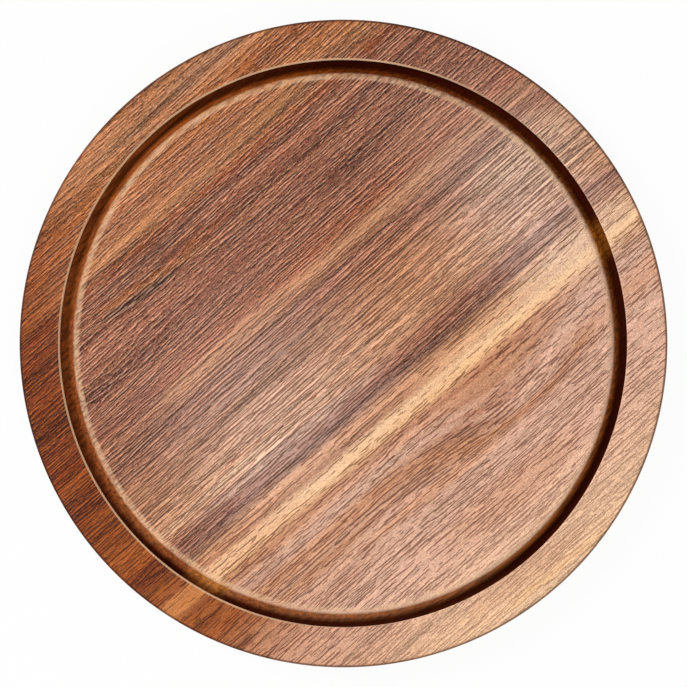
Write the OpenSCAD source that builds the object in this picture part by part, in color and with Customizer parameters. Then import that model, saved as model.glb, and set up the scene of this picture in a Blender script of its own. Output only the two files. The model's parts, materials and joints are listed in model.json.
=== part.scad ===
// Round wooden pizza serving board, edge glued from straight staves.
// Millimetres. +Z is up, the staves run along X, and the origin is the middle of the underside.

/* [Board] */
// Diameter of the finished board
board_d = 320; // [260:1:400]
// Thickness of the board
board_t = 15; // [12:0.5:24]
// Radius of the round on the top edge
top_round = 1.5; // [0.5:0.1:4]
// Radius of the round on the bottom edge
bottom_round = 1.5; // [0.5:0.1:4]

/* [Staves] */
// Number of staves glued side by side
stave_count = 9; // [5:1:13]
// Thickness of the glue film between two staves
glue_t = 0.1; // [0.05:0.05:0.4]

/* [Juice groove] */
// Width of the flat rim between the outer edge and the groove
rim_w = 20; // [14:0.5:40]
// Width of the groove, from the start of its soft inner lip to its outer wall
groove_w = 9.5; // [9:0.1:14]
// Depth of the groove below the top face
groove_depth = 5.2; // [3.5:0.1:6.5]
// Radius of the rounded floor at the foot of the outer wall
floor_round = 2; // [1:0.1:2.2]
// Radius of the soft inner lip, where the field rolls over into the groove
lip_round = 4; // [1:0.1:4.2]
// Width of the small bevel that breaks the groove's outer arris
arris_w = 0.6; // [0.2:0.1:1.5]

/* [Hidden] */
// Every cut runs this far past the faces that it leaves
overrun = 1;
// Every round stands this far past the flats that it blends, so that their faces cross and share a clean edge
round_lead = 0.01;
$fn = 180;

board_r = board_d / 2;
stave_pitch = board_d / stave_count;

// The groove's section, as radius and height. Its slope is the common tangent of the lip and the floor,
// each taken round_lead smaller.
wall_r = board_r - rim_w;
lip_tangent = lip_round - round_lead;
floor_tangent = floor_round - round_lead;
lip_centre = [wall_r - groove_w, board_t - lip_tangent];
floor_centre = [wall_r - floor_tangent, board_t - groove_depth + floor_round];
centre_step = floor_centre - lip_centre;
slope_angle = asin((lip_tangent + floor_tangent) / norm(centre_step)) - atan2(centre_step.y, centre_step.x);
slope_normal = [sin(slope_angle), cos(slope_angle)];
slope_top = lip_centre + lip_tangent * slope_normal;
slope_foot = floor_centre - floor_tangent * slope_normal;

// Colours of the staves from one side of the board to the other, repeated past the last
stave_colours = [
    "#c99f80", "#bf9072", "#b98a68", "#a8745a", "#a5715a", "#96624e", "#8f5c48", "#a06a4c", "#b47a58"
];
glue_colour = "#7a4a30";

function joint_y(i) = i * stave_pitch - board_r;
function stave_from(i) = i == 1 ? -board_r - overrun : joint_y(i - 1) + glue_t / 2;
function stave_to(i) = i == stave_count ? board_r + overrun : joint_y(i) - glue_t / 2;
function stave_name(i) = str("stave_", i);
function glue_name(i) = str("glue_line_", i);

staves = [1:stave_count];
glue_lines = [1:stave_count - 1];

// What a round of radius r takes off a square corner at the origin, whose body lies towards -x and -y
module corner_waste(r) {
    centre = [round_lead - r, round_lead - r];
    difference() {
        translate(centre) square(r + overrun);
        translate(centre) circle(r);
    }
}

// Section of the groove: soft lip, straight slope, rounded floor, upright outer wall, bevelled arris
module groove_section() {
    difference() {
        polygon([
            [lip_centre.x, board_t + overrun],
            [wall_r + arris_w + overrun, board_t + overrun],
            [wall_r, board_t - arris_w],
            [wall_r, floor_centre.y],
            floor_centre,
            slope_foot,
            slope_top,
            lip_centre
        ]);
        translate(lip_centre) circle(lip_round);
    }
    translate(floor_centre) circle(floor_round);
}

// Half section of the whole board, from the middle to the outer edge
module board_section() {
    difference() {
        square([board_r, board_t]);
        translate([board_r, board_t]) corner_waste(top_round);
        translate([board_r, 0]) mirror([0, 1]) corner_waste(bottom_round);
        groove_section();
    }
}

// The board's round form between two planes across the grain
module board_slice(y_from, y_to) {
    intersection() {
        rotate_extrude() board_section();
        translate([-board_r - overrun, y_from, -overrun])
            cube([board_d + 2 * overrun, y_to - y_from, board_t + 2 * overrun]);
    }
}

// One stave, counted from the side towards -Y
module stave(i) {
    color(stave_colours[(i - 1) % len(stave_colours)])
        board_slice(stave_from(i), stave_to(i));
}

// The glue film between stave i and the next one
module glue_line(i) {
    color(glue_colour)
        board_slice(stave_to(i), stave_from(i + 1));
}

for (i = staves) {
    stave(i);
}
for (i = glue_lines) {
    glue_line(i);
}
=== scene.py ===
"""Looks of the round pizza serving board: nine oiled hardwood staves, their glue lines, light and camera.

Metres. +Z is up, the grain runs along X, and the origin is the middle of the underside, as in the frame.
"""
import json
import logging
import math
from dataclasses import dataclass, field
from enum import Enum
from typing import Union

import bmesh
import bpy
import numpy as np
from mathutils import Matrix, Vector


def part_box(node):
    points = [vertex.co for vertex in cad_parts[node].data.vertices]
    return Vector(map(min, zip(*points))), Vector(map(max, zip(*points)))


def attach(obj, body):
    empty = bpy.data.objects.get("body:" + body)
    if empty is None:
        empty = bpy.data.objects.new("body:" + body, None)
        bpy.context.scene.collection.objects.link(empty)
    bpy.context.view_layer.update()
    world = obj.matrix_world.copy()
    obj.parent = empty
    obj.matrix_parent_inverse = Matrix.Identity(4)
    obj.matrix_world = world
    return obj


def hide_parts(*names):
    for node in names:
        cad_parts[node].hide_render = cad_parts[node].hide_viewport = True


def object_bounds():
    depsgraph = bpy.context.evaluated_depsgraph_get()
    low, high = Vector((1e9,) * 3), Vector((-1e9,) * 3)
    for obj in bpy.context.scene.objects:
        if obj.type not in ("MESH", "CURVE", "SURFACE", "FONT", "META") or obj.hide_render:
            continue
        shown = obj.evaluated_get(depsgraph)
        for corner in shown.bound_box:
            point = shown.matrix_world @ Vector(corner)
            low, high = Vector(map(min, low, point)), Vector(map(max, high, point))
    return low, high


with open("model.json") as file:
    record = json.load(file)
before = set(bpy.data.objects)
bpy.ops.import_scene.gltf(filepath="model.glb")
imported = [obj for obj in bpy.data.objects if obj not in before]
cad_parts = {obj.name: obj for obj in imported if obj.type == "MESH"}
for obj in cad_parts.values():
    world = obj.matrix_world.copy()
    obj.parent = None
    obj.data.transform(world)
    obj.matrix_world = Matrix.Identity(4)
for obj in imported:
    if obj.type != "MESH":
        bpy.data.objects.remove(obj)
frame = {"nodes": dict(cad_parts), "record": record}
cad_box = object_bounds()

log = logging.getLogger("serving_board")
MM = 0.001
BODY = "root"
LINES_ATTRIBUTE = "grain_lines"
BAKE_MAP = "OFBake"

Colour = tuple[float, float, float, float]


def linear(hex_code: str) -> Colour:
    """Turns a written screen colour into a linear one.

    Args:
        hex_code: Six hexadecimal digits, red, green and blue.

    Returns:
        Linear red, green, blue and a full alpha.
    """
    screen = [int(hex_code[i:i + 2], 16) / 255 for i in (0, 2, 4)]
    light = [c / 12.92 if c <= 0.04045 else ((c + 0.055) / 1.055) ** 2.4 for c in screen]
    return (light[0], light[1], light[2], 1.0)


class Tone(Enum):
    """Colours of the oiled wood, a painted shade among them, as written screen colours."""

    GOLDEN = "ac6a3c"
    AMBER = "a26032"
    HONEY = "b27850"
    UMBER = "804123"
    WALNUT = "824c37"
    CHESTNUT = "986047"
    CEDAR = "a86c4e"
    RUSSET = "a05a3a"
    TAN = "c0835c"
    BISCUIT = "d49970"
    PLUM = "9a6652"
    SAPWOOD = "f6c08c"
    CREAM = "fac89a"
    PINK = "e2b298"
    ROSE = "ce906a"
    STRAW = "f0c49c"
    BLUSH = "deb296"
    SMOKE = "38241f"
    # Painted shade at the foot of the groove's outer wall
    PAINTED_SHADE_BROWN = "340a03"
    TOFFEE = "7a3a12"
    CARAMEL = "9e5222"
    MARMALADE = "c87828"

    def colour(self) -> Colour:
        """The tone as a linear colour."""
        return linear(self.value)


# Geometry of the staves


@dataclass(frozen=True)
class BoardSection:
    """Half section of the board, as radius and height, from the soft inner lip of the groove outwards."""

    radius: float
    thickness: float
    top_round: float = 1.5 * MM
    bottom_round: float = 1.5 * MM
    rim_width: float = 20 * MM
    groove_width: float = 9.5 * MM
    groove_depth: float = 5.2 * MM
    floor_round: float = 2 * MM
    lip_round: float = 4 * MM
    arris_width: float = 0.6 * MM
    relief_fade: float = 0.5 * MM
    lip_steps: int = 12
    slope_steps: int = 6
    floor_steps: int = 14
    wall_steps: int = 3
    arris_steps: int = 3
    round_steps: int = 8
    edge_steps: int = 10

    @property
    def wall_radius(self) -> float:
        """Radius of the groove's upright outer wall."""
        return self.radius - self.rim_width

    @property
    def lip_start(self) -> float:
        """Radius at which the flat field starts to roll over into the groove."""
        return self.wall_radius - self.groove_width

    def arc(self, centre: np.ndarray, radius: float, start: float, end: float, steps: int) -> np.ndarray:
        """Points of an arc: centre plus radius times (sin a, cos a).

        Args:
            centre: Radius and height of the arc's middle.
            radius: Radius of the arc.
            start: First angle from straight up, towards the outside.
            end: Last angle.
            steps: Number of steps.

        Returns:
            The points, one row each, without the last.
        """
        angle = np.linspace(start, end, steps + 1)[:-1]
        return centre + radius * np.stack([np.sin(angle), np.cos(angle)], axis=1)

    def run(self, start: np.ndarray, end: np.ndarray, steps: int) -> np.ndarray:
        """Points of a straight line from start to end in even steps, without the last."""
        share = np.linspace(0, 1, steps + 1)[:-1, None]
        return start + (end - start) * share

    def outline(self, rim_steps: int) -> np.ndarray:
        """The section from the lip, through the groove, over the rim and round the edge to the underside.

        The slope is the common tangent of the lip's arc and the floor's arc.

        Args:
            rim_steps: Number of steps over the flat rim.

        Returns:
            Radius and height of each point, one row each.
        """
        lip = np.array([self.lip_start, self.thickness - self.lip_round])
        floor_height = self.thickness - self.groove_depth + self.floor_round
        floor = np.array([self.wall_radius - self.floor_round, floor_height])
        step = floor - lip
        tilt = math.atan2(step[1], step[0])
        slope = math.asin((self.lip_round + self.floor_round) / np.hypot(*step)) - tilt
        normal = np.array([math.sin(slope), math.cos(slope)])
        rim_in = np.array([self.wall_radius + self.arris_width, self.thickness])
        rim_out = np.array([self.radius - self.top_round, self.thickness])
        arris_foot = rim_in - self.arris_width
        top_corner = np.array([self.radius - self.top_round, self.thickness - self.top_round])
        low_corner = np.array([self.radius - self.bottom_round, self.bottom_round])
        top_end = top_corner + [self.top_round, 0]
        low_end = low_corner + [self.bottom_round, 0]
        return np.concatenate([
            self.arc(lip, self.lip_round, 0, slope, self.lip_steps),
            self.run(lip + self.lip_round * normal, floor - self.floor_round * normal, self.slope_steps),
            self.arc(floor, self.floor_round, math.pi + slope, math.pi / 2, self.floor_steps),
            self.run(floor + [self.floor_round, 0], arris_foot, self.wall_steps),
            self.run(arris_foot, rim_in, self.arris_steps),
            self.run(rim_in, rim_out, rim_steps),
            self.arc(top_corner, self.top_round, 0, math.pi / 2, self.round_steps),
            self.run(top_end, low_end, self.edge_steps),
            self.arc(low_corner, self.bottom_round, math.pi / 2, math.pi, self.round_steps),
            [[self.radius - self.bottom_round, 0]],
        ])

    def face_share(self, height: np.ndarray) -> np.ndarray:
        """How much of the brushed face's relief a point takes: 1 on the field and rim, 0 below them.

        Args:
            height: Heights above the underside.

        Returns:
            The shares.
        """
        return np.clip(1 - (self.thickness - height) / self.relief_fade, 0, 1)


@dataclass(frozen=True)
class Bulge:
    """A flat-sawn swelling of the figure, where the growth rings swing aside and back again.

    At a place along the grain the rings move across it by reach(x) times push(y): reach is a bell curve and
    push is drawn through a few given points.
    """

    centre: float
    reach_before: float
    reach_after: float
    across: tuple[float, ...]
    push: tuple[float, ...]

    def shift(self, x: np.ndarray, y: np.ndarray) -> np.ndarray:
        """The move across the grain, exp(-((x - centre) / reach)^2) * push(y), in millimetres.

        Args:
            x: Places along the grain, in millimetres.
            y: Places across the grain, in millimetres.

        Returns:
            The moves.
        """
        reach = np.where(x < self.centre, self.reach_before, self.reach_after)
        return np.exp(-(((x - self.centre) / reach) ** 2)) * np.interp(y, self.across, self.push)


# Share of the rings' swing that the fibres follow
FIBRE_SWING = 0.3

BULGES = (
    Bulge(centre=45, reach_before=48, reach_after=60,
          across=(-118, -102, -88, -80, -52), push=(0, 2, 8, 20, 0)),
    Bulge(centre=-125, reach_before=60, reach_after=70,
          across=(42, 56, 72, 88, 104), push=(0, 9, 0, -7, 0)),
)


@dataclass(frozen=True)
class Patch:
    """A soft round patch of the board: strength * exp(-((x - x0) / rx)^2 - ((y - y0) / ry)^2)."""

    middle: tuple[float, float]
    reach: tuple[float, float]
    strength: float

    def at(self, x: np.ndarray, y: np.ndarray) -> np.ndarray:
        """The patch's strength at places of the board.

        Args:
            x: Places along the grain, in millimetres.
            y: Places across the grain, in millimetres.

        Returns:
            The strengths.
        """
        far = (x - self.middle[0]) / self.reach[0]
        wide = (y - self.middle[1]) / self.reach[1]
        return self.strength * np.exp(-(far ** 2) - wide ** 2)


@dataclass(frozen=True)
class GrainBand:
    """A soft band along the grain: strength * exp(-((y - middle) / reach)^2)."""

    middle: float
    reach: float
    strength: float

    def at(self, y: np.ndarray) -> np.ndarray:
        """The band's strength at places across the grain, in millimetres."""
        return self.strength * np.exp(-(((y - self.middle) / self.reach) ** 2))


def smooth_step(value: np.ndarray, low: float, high: float) -> np.ndarray:
    """A smooth step from 0, at low, to 1, at high."""
    share = np.clip((value - low) / (high - low), 0, 1)
    return share * share * (3 - 2 * share)


@dataclass(frozen=True)
class LineLayer:
    """Thin lines along the grain, each with its own gentle waves and its own breaks."""

    seed: int
    pitch: float
    half_width: float
    wave_length: float
    wave: float
    break_length: float
    furrow_step: float = 0.65
    wiggle_length: float = 4.0
    wiggle: float = 0.28
    break_from: float = 0.4
    break_to: float = 0.8
    half_span: float = 200.0

    def along_line(self, along: np.ndarray, line: np.ndarray, length: float, seed: int) -> np.ndarray:
        """Smooth random heights along each line.

        Args:
            along: Places along the grain, in millimetres.
            line: Number of the line at each place.
            length: Distance between two random heights.
            seed: Seed of the heights.

        Returns:
            Heights from -1 to 1.
        """
        draw = np.random.default_rng(seed)
        count = int(2 * self.half_span / self.pitch) + 4
        heights = draw.uniform(-1, 1, (count, int(2 * self.half_span / length) + 4))
        place = (along + self.half_span) / length + draw.uniform(0, 1, count)[line]
        column = place.astype(int)
        part = smooth_step(place - column, 0, 1)
        return heights[line, column] * (1 - part) + heights[line, column + 1] * part

    def ridges(self, along: np.ndarray, across: np.ndarray,
               kept: np.ndarray) -> tuple[np.ndarray, np.ndarray]:
        """Each line as a ridge, exp(-(d / half width)^2), with a furrow of the same form beside it.

        Args:
            along: Places along the grain, in millimetres.
            across: Places across the grain, in millimetres.
            kept: How much of the lines is kept at each place, about 0 for none and 1 for all.

        Returns:
            1 on a ridge and 0 elsewhere, and the same for the furrows.
        """
        nearest = ((across + self.half_span) / self.pitch).astype(int)
        ridge, furrow = np.zeros_like(across), np.zeros_like(across)
        for line in (nearest - 1, nearest, nearest + 1):
            middle = (line + 0.5) * self.pitch - self.half_span
            away = across - middle - self.wave * self.along_line(along, line, self.wave_length, self.seed)
            away -= self.wiggle * self.along_line(along, line, self.wiggle_length, self.seed + 2)
            shown = self.along_line(along, line, self.break_length, self.seed + 1) + kept
            shown = smooth_step(shown, self.break_from, self.break_to)
            for height, aside in ((ridge, 0.0), (furrow, self.furrow_step)):
                bump = np.exp(-(((away + aside) / self.half_width) ** 2)) * shown
                np.maximum(height, bump, out=height)
        return ridge, furrow


@dataclass(frozen=True)
class GrainRelief:
    """Fine relief that the brushing leaves: ridges stand out on the dark wood, furrows on the pale wood.

    All places and lengths but the depth are in millimetres.
    """

    depth: float = 0.16 * MM
    layers: tuple[LineLayer, ...] = (
        LineLayer(seed=7, pitch=1.4, half_width=0.21, furrow_step=0.6,
                  wave_length=12, wave=0.4, break_length=4),
        LineLayer(seed=17, pitch=2.0, half_width=0.23, furrow_step=0.65,
                  wave_length=16, wave=0.6, break_length=6),
        LineLayer(seed=27, pitch=2.9, half_width=0.27, furrow_step=0.75,
                  wave_length=24, wave=1.0, break_length=10),
    )
    kept: float = 0.66
    sway: float = 0.35
    sway_along: tuple[float, float] = (23.0, 31.0)
    sway_across: tuple[float, float] = (7.0, 9.0)
    bands: tuple[GrainBand, ...] = (
        GrainBand(middle=8.0, reach=32.0, strength=0.2),
        GrainBand(middle=-44.0, reach=7.0, strength=-0.75),
    )
    thinned: float = 0.12
    thinned_side: tuple[float, float] = (-50.0, -65.0)
    calm: tuple[Patch, ...] = (
        Patch(middle=(50.0, -59.0), reach=(46.0, 8.0), strength=0.75),
        Patch(middle=(122.0, -100.0), reach=(45.0, 42.0), strength=0.3),
    )
    pale_side: tuple[float, float] = (75.0, -10.0)
    ridge_loss: float = 0.7
    furrow_loss: float = 0.2

    def kept_share(self, along: np.ndarray, across: np.ndarray, course: np.ndarray) -> np.ndarray:
        """How much of the lines is kept: two crossed waves, with more or less in some bands and patches.

        Args:
            along: Places along the grain.
            across: Places across the grain.
            course: Places across the grain, as the fibres run.

        Returns:
            The shares.
        """
        first = np.sin(along / self.sway_along[0] + course / self.sway_across[0])
        second = np.sin(along / self.sway_along[1] - course / self.sway_across[1])
        kept = self.kept + self.sway * first * second + sum(band.at(course) for band in self.bands)
        kept = kept - self.thinned * smooth_step(course, *self.thinned_side)
        return kept - sum(patch.at(along, across) for patch in self.calm)

    def lines(self, x: np.ndarray, y: np.ndarray) -> np.ndarray:
        """The lines at points of the board, from -1, sunken, to 1, raised.

        Args:
            x: Places along the grain, in metres.
            y: Places across the grain, in metres.

        Returns:
            The heights.
        """
        along, across = x / MM, y / MM
        course = across + FIBRE_SWING * sum(bulge.shift(along, across) for bulge in BULGES)
        kept = self.kept_share(along, across, course)
        pale = smooth_step(course, *self.pale_side)
        total = np.zeros_like(course)
        for layer in self.layers:
            ridge, furrow = layer.ridges(along, course, kept)
            total += ridge * (1 - self.ridge_loss * pale) - furrow * (1 - self.furrow_loss * (1 - pale))
        return np.clip(total, -1, 1)


@dataclass(frozen=True)
class BakeStrips:
    """Where a stave's faces lie on its baking map: the top shell, the underside and the joint faces.

    Each is a strip over the whole width of the map, given by its start and its height.
    """

    margin: float = 0.01
    top: tuple[float, float] = (0.01, 0.60)
    underside: tuple[float, float] = (0.63, 0.33)
    joints: tuple[float, float] = (0.975, 0.02)

    def along(self, share: np.ndarray) -> np.ndarray:
        """Places along a strip, for shares from 0 to 1."""
        return self.margin + (1 - 2 * self.margin) * share

    def across(self, strip: tuple[float, float], share: np.ndarray) -> np.ndarray:
        """Places across a strip, for shares from 0 to 1."""
        return strip[0] + strip[1] * share


@dataclass
class Stave:
    """One stave of the board, between two planes across the grain."""

    name: str
    slot: str
    low: float
    high: float
    section: BoardSection
    relief: GrainRelief
    row_step: float = 0.165 * MM
    column_step: float = 1.0 * MM
    underside_steps: int = 20
    rim_steps: int = 22
    strips: BakeStrips = BakeStrips()
    soak_start: float = 2.4 * MM
    slack: float = 0.05 * MM
    merge_distance: float = 0.0001 * MM
    smooth_angle: float = 40.0

    def grid(self) -> tuple[np.ndarray, np.ndarray]:
        """The stave's shell as a grid of points.

        Each row is the board's whole outline at one place across the grain: a point of the section with
        radius r lies at x = sqrt(r^2 - y^2), on both sides, with the flat field and underside between them.

        Returns:
            Points of shape (rows, columns, 3), and how far along the outline each column lies.
        """
        rows = int(round((self.high - self.low) / self.row_step)) + 1
        y = np.linspace(self.low, self.high, rows)[:, None]
        edge = self.section.outline(self.rim_steps)
        half = np.sqrt(edge[:, 0] ** 2 - y ** 2)
        columns = int(2 * self.section.lip_start / self.column_step)
        field_share = np.linspace(-1, 1, columns + 2)[1:-1]
        under_share = np.linspace(1, -1, self.underside_steps + 2)[1:-1]
        field_x, under_x = half[:, :1] * field_share, half[:, -1:] * under_share
        x = np.concatenate([-half[:, ::-1], field_x, half, under_x], axis=1)
        heights = np.concatenate([
            edge[::-1, 1],
            np.full(columns, self.section.thickness),
            edge[:, 1],
            np.zeros(self.underside_steps),
        ])
        z = np.broadcast_to(heights, x.shape)
        points = np.stack([x, np.broadcast_to(y, x.shape), z], axis=2)
        middle = points[rows // 2]
        steps = np.linalg.norm(np.diff(np.vstack([middle, middle[:1]]), axis=0), axis=1)
        return points, np.concatenate([[0], np.cumsum(steps)])

    def strip_share(self, travel: np.ndarray, top_end: int) -> np.ndarray:
        """How far along its own strip each place lies: the top shell up to top_end, then the underside.

        Args:
            travel: How far along the outline each place lies.
            top_end: Number of the place at which the top shell ends.

        Returns:
            Shares from 0 to 1.
        """
        beyond = travel - travel[top_end]
        on_top = np.arange(len(travel)) <= top_end
        return np.where(on_top, travel / travel[top_end], beyond / beyond[-1])

    def build(self) -> bpy.types.Object:
        """Builds the stave as a closed mesh: the grid joined round the outline, and two flat joint faces.

        Returns:
            The stave's object.
        """
        points, travel = self.grid()
        rows, columns = points.shape[:2]
        number = np.arange(rows * columns).reshape(rows, columns)
        ahead = np.roll(number, -1, axis=1)
        quads = np.stack([number[:-1], ahead[:-1], ahead[1:], number[1:]], axis=2).reshape(-1, 4)
        joints = [number[0, ::-1], number[-1]]
        top_end = columns - self.underside_steps - 1
        along = self.strip_share(travel, top_end)
        near = np.where(np.arange(columns) == top_end, 0.0, along[:-1])
        u = np.stack([near, along[1:], along[1:], near], axis=1)
        u = np.broadcast_to(u, (rows - 1, columns, 4))
        share = np.linspace(0, 1, rows)
        v = np.stack([share[:-1], share[:-1], share[1:], share[1:]], axis=1)[:, None, :]
        on_top = (np.arange(columns) < top_end)[None, :, None]
        strips = self.strips
        v = np.where(on_top, strips.across(strips.top, v), strips.across(strips.underside, v))
        chart = np.stack([strips.along(u), v], axis=3).reshape(-1, 2)
        return self.finish(points.reshape(-1, 3), quads, joints, chart)

    def finish(self, points: np.ndarray, quads: np.ndarray, joints: list[np.ndarray],
               chart: np.ndarray) -> bpy.types.Object:
        """Sinks the grain lines into the top face, makes the mesh and hands the stave over to its node.

        Args:
            points: Places of the vertices, one row each.
            quads: Vertex numbers of the shell's faces.
            joints: Vertex numbers of each flat joint face.
            chart: Places of the shell's corners on the baking map.

        Returns:
            The stave's object.
        """
        share = self.section.face_share(points[:, 2])
        lines = self.relief.lines(points[:, 0], points[:, 1]) * share
        sunk = points.copy()
        sunk[:, 2] -= share * self.relief.depth * (0.5 - 0.5 * lines)
        mesh = bpy.data.meshes.new(self.name + "_wood")
        mesh.from_pydata(sunk, [], [*quads.tolist(), *(joint.tolist() for joint in joints)])
        tag = mesh.attributes.new(LINES_ATTRIBUTE, "FLOAT", "POINT")
        tag.data.foreach_set("value", lines.astype(np.float32))
        cap = sunk[np.concatenate(joints)]
        cap_u = self.strips.along(0.5 + 0.5 * cap[:, 0] / self.section.radius)
        cap_v = self.strips.across(self.strips.joints, cap[:, 2] / self.section.thickness)
        corners = np.concatenate([chart, np.stack([cap_u, cap_v], axis=1)])
        layer = mesh.uv_layers.new(name=BAKE_MAP)
        layer.uv.foreach_set("vector", corners.astype(np.float32).ravel())
        self.close(mesh)
        stave = bpy.data.objects.new(self.name + "_wood", mesh)
        bpy.context.scene.collection.objects.link(stave)
        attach(stave, BODY)
        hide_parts(self.name)
        return stave

    def mark_groove(self, mesh: bpy.types.Mesh) -> None:
        """Gives the four-sided faces inside the groove the second material.

        Args:
            mesh: The stave's mesh.
        """
        count = len(mesh.polygons)
        centres = np.empty(count * 3, np.float32)
        mesh.polygons.foreach_get("center", centres)
        x, y, z = centres.reshape(-1, 3).T
        corners = np.empty(count, np.int32)
        mesh.polygons.foreach_get("loop_total", corners)
        section = self.section
        radius = np.hypot(x, y)
        inside = (radius > section.lip_start + self.soak_start) & (radius < section.wall_radius + self.slack)
        above = z > section.thickness - section.groove_depth - self.slack
        chosen = inside & above & (corners <= 4)
        mesh.polygons.foreach_set("material_index", chosen.astype(np.int32))

    def close(self, mesh: bpy.types.Mesh) -> None:
        """Merges points that coincide and shades the shell smooth up to its sharp joint edges.

        Args:
            mesh: The stave's mesh.
        """
        work = bmesh.new()
        work.from_mesh(mesh)
        bmesh.ops.remove_doubles(work, verts=work.verts, dist=self.merge_distance)
        work.to_mesh(mesh)
        work.free()
        mesh.shade_smooth()
        mesh.set_sharp_from_angle(angle=math.radians(self.smooth_angle))


@dataclass
class EndStave(Stave):
    """An outermost stave, whose outer face is the board's own round edge."""

    arc_step: float = 0.45 * MM
    rim_steps: int = 80
    underside_rows: int = 14

    def grid(self) -> tuple[np.ndarray, np.ndarray]:
        """The stave's shell as a fan of arcs about the board's axis.

        With the joint plane at distance d, a point of the section with radius r sweeps the angles
        t * acos(d / r) for t from -1 to 1, so each arc ends on the plane and r = d is a single point.

        Returns:
            Points of shape (rows, columns, 3), and how far along the section each row lies.
        """
        side = 1 if self.high > 0 else -1
        plane = self.low if side > 0 else -self.high
        edge = self.section.outline(self.rim_steps)
        steps = int((edge[0, 0] - plane) / self.row_step)
        inner = np.linspace(plane, edge[0, 0], steps + 1)[:-1]
        under = np.linspace(edge[-1, 0], plane, self.underside_rows + 1)[1:]
        radius = np.concatenate([inner, edge[:, 0], under])[:, None]
        heights = [np.full(steps, self.section.thickness), edge[:, 1], np.zeros(self.underside_rows)]
        height = np.concatenate(heights)[:, None]
        widest = math.acos(plane / self.section.radius)
        columns = int(2 * widest * self.section.radius / self.arc_step)
        turn = np.linspace(-1, 1, columns + 1) * np.arccos(np.clip(plane / radius, -1, 1))
        x, y = radius * np.sin(turn), radius * np.cos(turn)
        points = np.stack([side * x, side * y, np.broadcast_to(height, x.shape)], axis=2)
        path = np.concatenate([radius, height], axis=1)
        steps_out = np.linalg.norm(np.diff(path, axis=0), axis=1)
        return points, np.concatenate([[0], np.cumsum(steps_out)])

    def build(self) -> bpy.types.Object:
        """Builds the stave as a closed mesh: the fan of arcs, and one flat joint face.

        Returns:
            The stave's object.
        """
        points, travel = self.grid()
        rows, columns = points.shape[:2]
        number = np.arange(rows * columns).reshape(rows, columns)
        quads = np.stack([number[:-1, :-1], number[:-1, 1:], number[1:, 1:], number[1:, :-1]], axis=2)
        joint = np.concatenate([number[:, -1], number[-2:0:-1, 0]])[::-1]
        top_end = rows - self.underside_rows - 1
        share = self.strip_share(travel, top_end)
        strips = self.strips
        on_top = np.arange(rows) <= top_end
        out = np.where(on_top, strips.across(strips.top, share), strips.across(strips.underside, share))
        near = np.where(np.arange(rows - 1) == top_end, strips.underside[0], out[:-1])
        v = np.stack([near, near, out[1:], out[1:]], axis=1)[:, None, :]
        across = strips.along(np.linspace(0, 1, columns))
        u = np.stack([across[:-1], across[1:], across[1:], across[:-1]], axis=1)[None]
        shape = (rows - 1, columns - 1, 4)
        chart = np.stack([np.broadcast_to(u, shape), np.broadcast_to(v, shape)], axis=3)
        return self.finish(points.reshape(-1, 3), quads.reshape(-1, 4), [joint], chart.reshape(-1, 2))


# Node trees


Number = Union["Wire", float, int]


class Wire:
    """An output socket that a formula can add, subtract, multiply and divide."""

    def __init__(self, sketch: "NodeSketch", socket: bpy.types.NodeSocket) -> None:
        """Keeps the socket and the tree that it is in."""
        self.sketch = sketch
        self.socket = socket

    def __add__(self, other: Number) -> "Wire":
        """This plus other."""
        return self.sketch.math("ADD", self, other)

    def __sub__(self, other: Number) -> "Wire":
        """This minus other."""
        return self.sketch.math("SUBTRACT", self, other)

    def __rsub__(self, other: Number) -> "Wire":
        """Other minus this."""
        return self.sketch.math("SUBTRACT", other, self)

    def __mul__(self, other: Number) -> "Wire":
        """This times other."""
        return self.sketch.math("MULTIPLY", self, other)

    def __truediv__(self, other: Number) -> "Wire":
        """This over other."""
        return self.sketch.math("DIVIDE", self, other)

    __radd__ = __add__


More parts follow.
